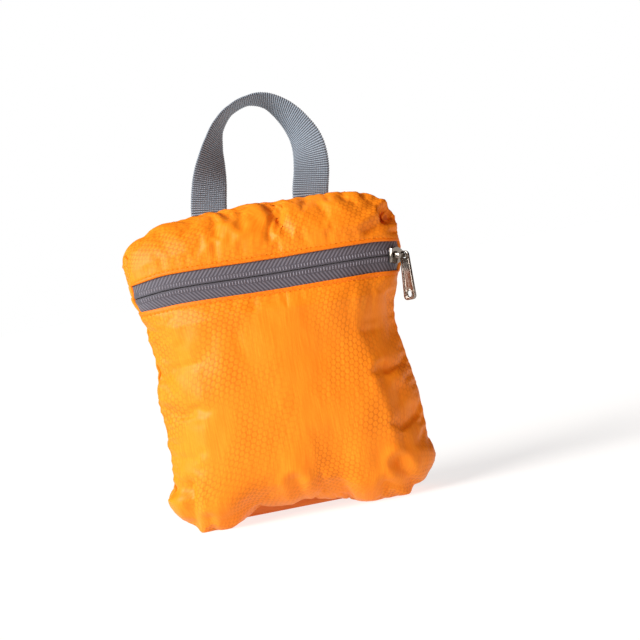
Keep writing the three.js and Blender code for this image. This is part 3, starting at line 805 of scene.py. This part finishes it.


# Tape weave: polyester in herringbone twill outside the coil's sewing and plain over the coil. The rows of
# the twill are
# 2.25 mm apart along the zip. At the slit the tape is painted nearly black, as painted shade in the gap
# between the tapes.
tape_grey = "#4d4a53"
tape_dark = "#2a282e"
tape_light = "#77747e"
tape_slit_shade = "#232228"
twill_pitch = 2.25 * mm
twill_slant = 0.8
woven_tape, tree = new_material("woven_polyester_tape")
flat = add(tree, "UVMap", {"uv_map": "flat"})
u, v = add(tree, "SeparateXYZ", inputs={0: flat}).node.outputs[:2]
away = combine(tree, "ABSOLUTE", v)
slant = combine(tree, "MULTIPLY_ADD", away, twill_slant, u)
phase = combine(tree, "MULTIPLY", slant, 2 * math.pi / twill_pitch)
twill = fit(tree, combine(tree, "SINE", phase), -1.0, 1.0)
outer = fit(tree, away, 3.3 * mm, 3.7 * mm, kind="SMOOTHSTEP")
plain = combine(tree, "MULTIPLY", grain(tree, flat, 0.6 * mm, 1.0), 0.55)
weave = mix(tree, outer, plain, twill)
shade = mix(tree, fit(tree, weave, 0.1, 0.9), tape_dark, tape_light)
calm = mix(tree, 0.5, shade, tape_grey)
# painted shade: the tape's edge at the slit goes nearly black
slit_shade = fit(tree, away, 0.15 * mm, 0.45 * mm, 1.0, 0.0, "SMOOTHSTEP")
finish(tree, weave, 0.7, 0.3 * mm, {
    "Base Color": mix(tree, slit_shade, calm, tape_slit_shade), "Roughness": 0.7, "Specular IOR Level": 0.4,
    "Sheen Weight": 0.2, "Sheen Roughness": 0.5})

for name, side, node in (("tape_upper", 1, "zipper_tape_upper"), ("tape_lower", -1, "zipper_tape_lower")):
    tape = weave_tape(name, side)
    tape.data.materials.append(woven_tape)
    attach(tape, "pouch")
    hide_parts(node)

# Sewing: polyester thread. On the tapes a short stitch holds each turn of the coil, 1.65 mm apart. On
# the hems an orange lockstitch runs 2.5 mm from the fold, 2.7 mm a stitch.
coil_pitch = 1.65 * mm
coil_stitch = 2.1 * mm
coil_thread = 0.5 * mm
coil_colours = ("#706d77", "#a5a2ac")
hem_pitch = 2.7 * mm
hem_stitch = 1.6 * mm
hem_thread = 0.6 * mm
hem_colours = ("#d87004", "#f49a18")
stitch_rings = (-1, -0.82, -0.4, 0.4, 0.82, 1)
stitch_sides = 6
stitch_sunk = 0.1 * mm
stitch_sag = 0.25 * mm
hem_to_stitch = 2.5 * mm
seam_to_stitch = 1.2


def sew(name, middles, directions, length, thickness, sag=0.0, ups=None):
    """All stitches of a seam as one piece: each is a short rounded thread along its direction."""
    directions = directions / np.linalg.norm(directions, axis=-1, keepdims=True)
    sides = np.cross(directions, (0, -1, 0) if ups is None else ups)
    sides /= np.linalg.norm(sides, axis=-1, keepdims=True)
    rises = np.cross(sides, directions)
    at = np.array(stitch_rings)[:, None, None]
    centres = middles[:, None, None] + directions[:, None, None] * at * length / 2
    centres = centres - rises[:, None, None] * sag * at ** 2
    turn = 2 * math.pi * np.arange(stitch_sides)[:, None] / stitch_sides
    around = sides[:, None, None] * np.cos(turn) + rises[:, None, None] * np.sin(turn)
    points = centres + around * thickness / 2 * np.sqrt(np.maximum(1 - at ** 4, 0.04))
    index = np.arange(points.size // 3).reshape(points.shape[:-1])
    ends = [end for stitch in index for end in (stitch[0], stitch[-1][::-1])]
    return add_mesh(name, points, np.concatenate([net_faces(stitch, True) for stitch in index]), ends)


def thread_material(name, colours):
    """Twisted polyester thread, with a twist about as long as it is thick."""
    material, tree = new_material(name)
    place = add(tree, "TexCoord", output=3)
    twist = grain(tree, place, 0.5 * mm, 2.0)
    finish(tree, twist, 0.5, 0.1 * mm, {
        "Base Color": mix(tree, twist, *colours), "Roughness": 0.6, "Specular IOR Level": 0.12})
    return material


stitch_turns = np.interp(np.arange(12 * mm, zip_length - 5 * mm, coil_pitch), zip_run, front_turns)
for name, side in (("coil_sewing_upper", 1), ("coil_sewing_lower", -1)):
    near = on_zip(stitch_turns, side * 1.0 * mm, 0.40 * mm)
    far = on_zip(stitch_turns, side * 3.1 * mm, 0.22 * mm)
    sewing = sew(name, (near + far) / 2, far - near, coil_stitch, coil_thread)
    sewing.data.materials.append(thread_material(name.replace("sewing", "thread"), coil_colours))
    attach(sewing, "pouch")

hem_seams = (
    # name, net row of the fold, direction away from the zip
    ("hem_sewing_lower", rows_below, -1),
    ("hem_sewing_upper", rows_below + rows_zip, 1),
)
for name, fold_row, side in hem_seams:
    row = np.array([fold_row + side * hem_to_stitch / cell])
    columns = np.linspace(seam_to_stitch, front_columns - seam_to_stitch, 800)
    line = sample(net, row, columns)[0]
    faces_out = sample(normals, row, columns)[0]
    run = np.concatenate([[0], np.cumsum(np.linalg.norm(np.diff(line, axis=0), axis=1))])
    at = np.arange(hem_pitch / 2, run[-1], hem_pitch)
    middles, ends, ups = (
        np.stack([np.interp(places, run, track[:, k]) for k in range(3)], axis=-1)
        for places, track in ((at, line), (at + 0.5 * mm, line), (at, faces_out)))
    middles = middles - ups * stitch_sunk
    sewing = sew(name, middles, ends - middles, hem_stitch, hem_thread, stitch_sag, ups)
    sewing.data.materials.append(thread_material(name.replace("sewing", "thread"), hem_colours))
    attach(sewing, "pouch")

# Coil: nylon monofilament wound into a flat spiral, behind the slit. It stays as it is built, with the
# turns of the spiral in its finish.
coil_dark = "#1b1a1e"
coil_light = "#4a474f"
nylon_coil, tree = new_material("nylon_monofilament")
place = add(tree, "TexCoord", output=3)
turns = add(tree, "TexWave", {"wave_type": "BANDS", "bands_direction": "X"}, {
    "Vector": place, "Scale": 1 / (coil_pitch * 3.2), "Distortion": 0.0})
finish(tree, turns, 1.0, 0.5 * mm, {
    "Base Color": mix(tree, turns, coil_dark, coil_light), "Roughness": 0.35})
coil = frame["nodes"]["zipper_coil"]
coil.data.materials.clear()
coil.data.materials.append(nylon_coil)

# Slider: die-cast zinc, nickel plated. Two plates hold the tapes, the upper one widest in front of its
# middle with a raised flange at the end where the closed zip comes out. A bridge on it carries the pull.
slider_across = 0.96
slider_length = 11.5 * mm
slider_width = 9.2 * mm
slider_tail = 5.2 * mm
slider_nose = 4.4 * mm
plate_thickness = 1.2 * mm
plate_gap = 3.4 * mm
flange_length = 1.3 * mm
flange_width = 7.8 * mm
flange_height = 0.7 * mm
post_length = 3 * mm
post_width = 1.8 * mm
bridge_leg = 2.2 * mm
bridge_leg_width = 3.0 * mm
bridge_width = 2.1 * mm
bridge_bar = 1.5 * mm
bridge_rise = 3.5 * mm
bridge_neck = 0.7 * mm
bridge_left = -4.1 * mm
bridge_right = 5.25 * mm
cast_edge = 0.22 * mm
hair = 0.01 * mm


def slider_place():
    """The slider's place on the zip: X along the zip, Y up the cloth, Z out of it."""
    turn = np.array([math.acos(slider_across ** (squareness / 2))])
    path = np.array([zip_path])
    near = 0.02
    across = Vector((pouch_point(turn - near, path) - pouch_point(turn + near, path))[0]).normalized()
    up = Vector((pouch_point(turn, path + near) - pouch_point(turn, path - near))[0])
    out = across.cross(up).normalized()
    place = Matrix((across, out.cross(across), out)).transposed().to_4x4()
    place.translation = Vector(pouch_point(turn, path)[0])
    return place


def start_block(name, low, high):
    """A block between two corners, in edit mode with nothing selected."""
    bpy.ops.object.select_all(action="DESELECT")
    bpy.ops.mesh.primitive_cube_add(size=1, location=(Vector(low) + Vector(high)) / 2)
    block = bpy.context.object
    block.name = name
    block.scale = Vector(high) - Vector(low)
    bpy.ops.object.transform_apply(location=True, rotation=False, scale=True)
    bpy.ops.object.mode_set(mode="EDIT")
    bpy.ops.mesh.select_all(action="DESELECT")
    return block


def pick(block, kind, test):
    """Selects the vertices, edges or faces of a block whose corners all pass a test."""
    bpy.ops.mesh.select_mode(type=kind)
    bpy.ops.mesh.select_all(action="DESELECT")
    net = bmesh.from_edit_mesh(block.data)
    if kind == "VERT":
        for item in net.verts:
            item.select_set(test(item.co))
    else:
        for item in net.edges if kind == "EDGE" else net.faces:
            item.select_set(all(test(corner.co) for corner in item.verts))
    net.select_flush_mode()
    bmesh.update_edit_mesh(block.data)


def slice_across(block, places):
    """Cuts new rings of edges into a block, square to X."""
    for x in places:
        bpy.ops.mesh.select_all(action="SELECT")
        bpy.ops.mesh.bisect(plane_co=(x, 0, 0), plane_no=(1, 0, 0))
    bpy.ops.mesh.select_all(action="DESELECT")


def widen(block, x, factor):
    """Scales the ring of corners at one x across the block."""
    pick(block, "VERT", lambda co: abs(co.x - x) < 2 * hair)
    bpy.ops.transform.resize(value=(1, factor, 1), center_override=(x, 0, 0))


def draw_out(x, y, z):
    """Extrudes the selected faces."""
    bpy.ops.mesh.extrude_region_move(TRANSFORM_OT_translate={"value": (x, y, z)})


def finish_block(block, edge, angle=35):
    """Rounds a block's edges, applies that and shades it."""
    bpy.ops.mesh.select_all(action="SELECT")
    bpy.ops.mesh.normals_make_consistent(inside=False)
    bpy.ops.mesh.select_all(action="DESELECT")
    bpy.ops.object.mode_set(mode="OBJECT")
    rounding = block.modifiers.new("rounding", "BEVEL")
    rounding.width = edge
    rounding.segments = 3
    rounding.limit_method = "ANGLE"
    rounding.angle_limit = math.radians(30)
    rounding.harden_normals = False
    bpy.ops.object.modifier_apply(modifier="rounding")
    bpy.ops.object.shade_smooth_by_angle(angle=math.radians(angle))


def join(pieces):
    """Joins pieces into the first of them."""
    bpy.ops.object.select_all(action="DESELECT")
    for piece in pieces:
        piece.select_set(True)
    bpy.context.view_layer.objects.active = pieces[0]
    bpy.ops.object.join()
    return pieces[0]


end = slider_length / 2
stations = (
    # along the slider, width there
    (-end + flange_length + 0.1 * mm, slider_tail),
    (-0.22 * end, slider_width),
    (0.18 * end, slider_width),
    (0.72 * end, slider_width * 0.72),
)
blocks = []
bridge_sunk = plate_thickness * 0.4
for name, top in (("upper_plate", 0), ("lower_plate", -plate_thickness - plate_gap)):
    half = flange_width / 2
    plate = start_block(name, (-end, -half, top - plate_thickness), (end, half, top))
    slice_across(plate, [-end + flange_length] + [x for x, width in stations])
    for x, width in stations:
        widen(plate, x, width / flange_width)
    widen(plate, end, slider_nose / flange_width)
    if name == "upper_plate":
        pick(plate, "FACE", lambda co: co.x < -end + flange_length + 2 * hair and co.z > -hair)
        draw_out(0, 0, flange_height)
        bpy.ops.transform.resize(value=(0.8, 0.94, 1), center_override=(-end + flange_length / 2, 0, 0))
    finish_block(plate, cast_edge)
    blocks.append(plate)

post_end = slider_length * 0.28
low = (post_end - post_length, -post_width / 2, -plate_gap - 1.4 * plate_thickness)
post = start_block("post", low, (post_end, post_width / 2, -plate_thickness * 0.6))
pick(post, "EDGE", lambda co: co.x < post_end - post_length * 0.9)
bpy.ops.mesh.bevel(offset=0.6 * mm, segments=3, affect="EDGES")
finish_block(post, 0.1 * mm)
blocks.append(post)

# Its bridge starts as the broad leg at the flange. The strip is drawn out of the leg's side, narrowed,
# and its far end drawn down to the plate.
low = (bridge_left, -bridge_leg_width / 2, -bridge_sunk)
rise = bridge_rise + bridge_bar / 2
bridge = start_block("bridge", low, (bridge_left + bridge_leg, bridge_leg_width / 2, rise))
bpy.ops.mesh.select_all(action="SELECT")
bpy.ops.mesh.bisect(plane_co=(0, 0, rise - bridge_bar), plane_no=(0, 0, 1))
side = bridge_left + bridge_leg
pick(bridge, "FACE", lambda co: co.x > side - hair and co.z > rise - bridge_bar - hair)
draw_out(bridge_neck, 0, 0)
bpy.ops.transform.resize(value=(1, bridge_width / bridge_leg_width, 1), center_override=(side, 0, 0))
for reach in (bridge_right - bridge_bar, bridge_right):
    draw_out(reach - max(v.co.x for v in bmesh.from_edit_mesh(bridge.data).verts), 0, 0)
inner_end = bridge_right - bridge_bar - hair
pick(bridge, "FACE", lambda co: co.x > inner_end and co.z < rise - bridge_bar + hair)
draw_out(0, 0, bridge_bar / 2 - bridge_rise - bridge_sunk)
finish_block(bridge, 0.35 * mm)
blocks.append(bridge)

slider = join(blocks)
slider.name = "slider"
slider.data.transform(slider_place())

# Nickel plating: bright over a cast surface, so it mirrors softly, with faint ripples and handling marks
# that dull it in places. Its colour is set far darker than bright plating, as painted shade for the dark
# surroundings it mirrors.
shaded_nickel = "#8d847b"
plated_zinc, tree = new_material("nickel_plated_zinc")
place = add(tree, "TexCoord", output=3)
dulled = fit(tree, grain(tree, place, 1.6 * mm, 4.0), 0.3, 0.75, 0.14, 0.24)
finish(tree, grain(tree, place, 2.5 * mm, 1.0), 0.10, 0.05 * mm, {
    "Base Color": linear(shaded_nickel), "Metallic": 1.0, "Roughness": dulled})
slider.data.materials.clear()
slider.data.materials.append(plated_zinc)
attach(slider, "pouch")
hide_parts("slider_body")

# Pull tab: the same plated zinc. A tapered plate with raised rims, a round eye for the bridge and an
# oval hole with a raised ring at its foot. It is made flat, its eye at the origin, and then hung up.
tab_length = 27 * mm
tab_top_width = 5.2 * mm
tab_foot_width = 7.6 * mm
tab_thickness = 1.6 * mm
tab_foot_rounding = 2.3 * mm
tab_top_rounding = 2.45 * mm
tab_rim = 1.2 * mm
tab_rim_slope = 0.12 * mm
tab_recess = 0.38 * mm
tab_eye = 1.6 * mm
tab_hole_length = 4.2 * mm
tab_hole_width = 3.0 * mm
ring_thickness = 0.9 * mm

top = tab_top_width / 2
foot = top - tab_length
face = tab_thickness / 2
tab = start_block("zip_pull", (-top, foot, -face), (top, top, face))
pick(tab, "VERT", lambda co: co.y < foot + hair)
bpy.ops.transform.resize(value=(tab_foot_width / tab_top_width, 1, 1), center_override=(0, foot, 0))
for end_y, rounding in ((foot, tab_foot_rounding), (top, tab_top_rounding)):
    bpy.ops.mesh.select_mode(type="EDGE")
    bpy.ops.mesh.select_all(action="DESELECT")
    for edge in bmesh.from_edit_mesh(tab.data).edges:
        a, b = (corner.co for corner in edge.verts)
        is_upright = abs(a.z - b.z) > face and abs(a.x - b.x) < hair
        edge.select_set(is_upright and abs(a.y - end_y) < hair)
    bmesh.update_edit_mesh(tab.data)
    bpy.ops.mesh.bevel(offset=rounding, segments=10, affect="EDGES")
for side in (1, -1):
    pick(tab, "FACE", lambda co: co.z * side > face - hair)
    for inset in (tab_rim, tab_rim_slope):
        bpy.ops.mesh.inset(thickness=inset, use_even_offset=True)
    bpy.ops.transform.translate(value=(0, 0, -side * tab_recess))
finish_block(tab, 0.2 * mm)

hole_middle = foot + tab_rim + tab_hole_length / 2
holes = (
    # name, middle along the tab, half width, half length
    ("eye_drill", 0, tab_eye, tab_eye),
    ("hole_drill", hole_middle, tab_hole_width / 2, tab_hole_length / 2),
)
for name, along, half_wide, half_long in holes:
    bpy.ops.object.select_all(action="DESELECT")
    bpy.ops.mesh.primitive_cylinder_add(
        vertices=40, radius=1, depth=4 * tab_thickness, location=(0, along, 0))
    drill = bpy.context.object
    drill.name = name
    drill.scale = (half_wide, half_long, 1)
    bpy.ops.object.transform_apply(location=True, rotation=False, scale=True)
    bpy.context.view_layer.objects.active = tab
    cut = tab.modifiers.new("cut", "BOOLEAN")
    cut.operation = "DIFFERENCE"
    cut.solver = "EXACT"
    cut.object = drill
    bpy.ops.object.modifier_apply(modifier="cut")
    bpy.data.objects.remove(drill)

bpy.ops.object.select_all(action="DESELECT")
bpy.ops.mesh.primitive_torus_add(
    major_segments=48, minor_segments=14, major_radius=tab_hole_width / 2 + ring_thickness / 3,
    minor_radius=ring_thickness / 2, location=(0, hole_middle, 0))
ring = bpy.context.object
bpy.ops.object.mode_set(mode="EDIT")
bpy.ops.mesh.select_all(action="SELECT")
stretch = (tab_hole_length + ring_thickness) / (tab_hole_width + ring_thickness)
bpy.ops.transform.resize(value=(1, stretch, 1.75), center_override=(0, hole_middle, 0))
bpy.ops.object.mode_set(mode="OBJECT")
bpy.ops.object.shade_smooth()
join([tab, ring])
bpy.ops.object.shade_smooth_by_angle(angle=math.radians(40))
joint = frame["joints"][0]
axis = Vector(joint["axis"]).normalized()
upright = (Vector((0, 0, 1)) - axis * axis.z).normalized()
hang = Matrix((upright.cross(axis), upright, axis)).transposed().to_4x4()
hang.translation = Vector(joint["pos_m"])
tab.data.transform(hang)
tab.data.materials.clear()
tab.data.materials.append(plated_zinc)
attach(tab, "pull")
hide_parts("pull_tab")

# Grab loop: one length of 20 mm polyester webbing, its weft in ribs across it, both ends sewn into the
# top seam and its crown turned on edge.
webbing_width = 20 * mm
webbing_thickness = 1.6 * mm
loop_span = 56.6 * mm
loop_rise = 58 * mm
loop_offset = 4.2 * mm
loop_lean = math.radians(17)
loop_tip = math.radians(10)
loop_sewn_in = 6 * mm
loop_line = {
    "across": (-1, -0.89, -0.78, -0.67, -0.51, -0.24, 0.12, 0.45, 0.80, 1.02, 1.13, 1.12, 1),
    "rise": (0, 0.28, 0.47, 0.64, 0.81, 0.94, 1, 0.97, 0.82, 0.64, 0.46, 0.26, 0),
    "twist": (0, 0.22, 0.50, 0.72, 0.90, 1.0, 1.0, 0.88, 0.66, 0.50, 0.28, 0.06, 0),
}
rib_pitch = 1.15 * mm
rib_height = 0.22 * mm
rib_overhang = 0.3 * mm
rib_steps = 5
selvedge_inset = 0.35 * mm
warp_lift = 0.35
warp_pitch = 1.25 * mm
width_steps = 24


def smooth_route(points, at):
    """A centripetal Catmull-Rom curve through points, read at shares of the way from 0 to 1."""
    padded = np.concatenate([[2 * points[0] - points[1]], points, [2 * points[-1] - points[-2]]])
    place = np.clip(at, 0, 1) * (len(points) - 1)
    i = np.clip(np.floor(place).astype(int), 0, len(points) - 2)
    t = (place - i)[:, None]
    p0, p1, p2, p3 = (padded[i + k] for k in range(4))
    d0, d1, d2 = (np.linalg.norm(b - a, axis=1)[:, None] ** 0.5 for a, b in ((p0, p1), (p1, p2), (p2, p3)))
    m1 = ((p1 - p0) / d0 - (p2 - p0) / (d0 + d1) + (p2 - p1) / d1) * d1
    m2 = ((p2 - p1) / d1 - (p3 - p1) / (d1 + d2) + (p3 - p2) / d2) * d1
    return ((2 * t ** 3 - 3 * t ** 2 + 1) * p1 + (t ** 3 - 2 * t ** 2 + t) * m1
            + (-2 * t ** 3 + 3 * t ** 2) * p2 + (t ** 3 - t ** 2) * m2)


across = np.array(loop_line["across"])
rise = np.array(loop_line["rise"]) * loop_rise
places = np.stack([
    loop_offset + across * loop_span / 2,
    rise * math.tan(loop_lean),
    pouch_height - webbing_thickness / 2 + rise,
], axis=-1) + pouch_middle
sewn_end = np.array((0, 0, loop_sewn_in))
places = np.concatenate([[places[0] - sewn_end], places, [places[-1] - sewn_end]])
twists = np.array((0,) + loop_line["twist"] + (0,))
fine = np.linspace(0, 1, 3001)
route = smooth_route(places, fine)
run = np.concatenate([[0], np.cumsum(np.linalg.norm(np.diff(route, axis=0), axis=1))])
steps = int(run[-1] / rib_pitch) * rib_steps
at = np.interp(np.linspace(0, run[-1], steps + 1), run, fine)
centre = smooth_route(places, at)
tangent = smooth_route(places, at + 1e-4) - smooth_route(places, at - 1e-4)
tangent /= np.linalg.norm(tangent, axis=1, keepdims=True)
twist = np.interp(at * (len(places) - 1), np.arange(len(places)), twists) * math.pi / 2
backwards = np.array((0, math.cos(loop_tip), -math.sin(loop_tip)))
inwards = -np.cross(tangent, backwards)
inwards /= np.linalg.norm(inwards, axis=1, keepdims=True)
wide = inwards * np.cos(twist)[:, None] + backwards * np.sin(twist)[:, None]
wide -= tangent * (wide * tangent).sum(1, keepdims=True)
wide /= np.linalg.norm(wide, axis=1, keepdims=True)
thick = np.cross(tangent, wide)
along = np.linspace(0, run[-1], steps + 1)
rib = np.cos(2 * math.pi * along / rib_pitch)
width_share = np.linspace(-1, 1, width_steps + 1)
top = np.concatenate([width_share, width_share[::-1]])
face = np.concatenate([np.ones(width_steps + 1), -np.ones(width_steps + 1)])
half_width = webbing_width / 2 - selvedge_inset + rib_overhang * (rib > 0)
edge_round = np.sqrt(1 - 0.75 * np.abs(top) ** 14)
warp = np.cos(2 * math.pi * top * webbing_width / 2 / warp_pitch)
lift = rib_height / 2 * rib[:, None] * (1 + warp_lift * warp[None, :] * np.sign(rib)[:, None])
half_thick = (webbing_thickness / 2 - rib_height / 2) * edge_round[None, :] + lift
points = (centre[:, None] + wide[:, None] * (top[None, :, None] * half_width[:, None, None])
          + thick[:, None] * (face[None, :] * half_thick)[..., None])
loop = add_tube("webbing_loop", points, (along[:, None], (top * webbing_width / 2)[None, :]))

# Webbing yarn: grey polyester. The ribs are a light weft over a darker warp, and the warp shows as rows of
# small dots along the strap. Between the ribs and the dots the colour goes nearly black, as painted shade
# in the gaps of the weave.
webbing_rib = "#8a95a1"
webbing_gap_shade = "#23282e"
webbing_warp = "#424b55"
polyester_webbing, tree = new_material("polyester_webbing")
flat = add(tree, "UVMap", {"uv_map": "flat"})
u, v = add(tree, "SeparateXYZ", inputs={0: flat}).node.outputs[:2]
rib_phase = combine(tree, "MULTIPLY", u, 2 * math.pi / rib_pitch)
rib_wave = fit(tree, combine(tree, "COSINE", rib_phase), -0.8, 0.8)
warp_phase = combine(tree, "MULTIPLY", v, 2 * math.pi / warp_pitch)
warp_wave = fit(tree, combine(tree, "COSINE", warp_phase), -0.9, 0.9)
# painted shade: the gaps between ribs and warp dots are nearly black
woven = mix(tree, rib_wave, mix(tree, warp_wave, webbing_gap_shade, webbing_warp), webbing_rib)
yarn = fit(tree, grain(tree, flat, 1.5 * mm, 3.0), 0.0, 1.0, 0.8, 1.15)
colour = add(tree, "VectorMath", {"operation": "SCALE"}, {0: woven, "Scale": yarn})
finish(tree, combine(tree, "MULTIPLY", rib_wave, warp_wave), 0.5, 0.2 * mm, {
    "Base Color": colour, "Roughness": 0.65, "Specular IOR Level": 0.4,
    "Sheen Weight": 0.15, "Sheen Roughness": 0.5})
loop.data.materials.append(polyester_webbing)
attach(loop, "pouch")
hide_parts("grab_loop")
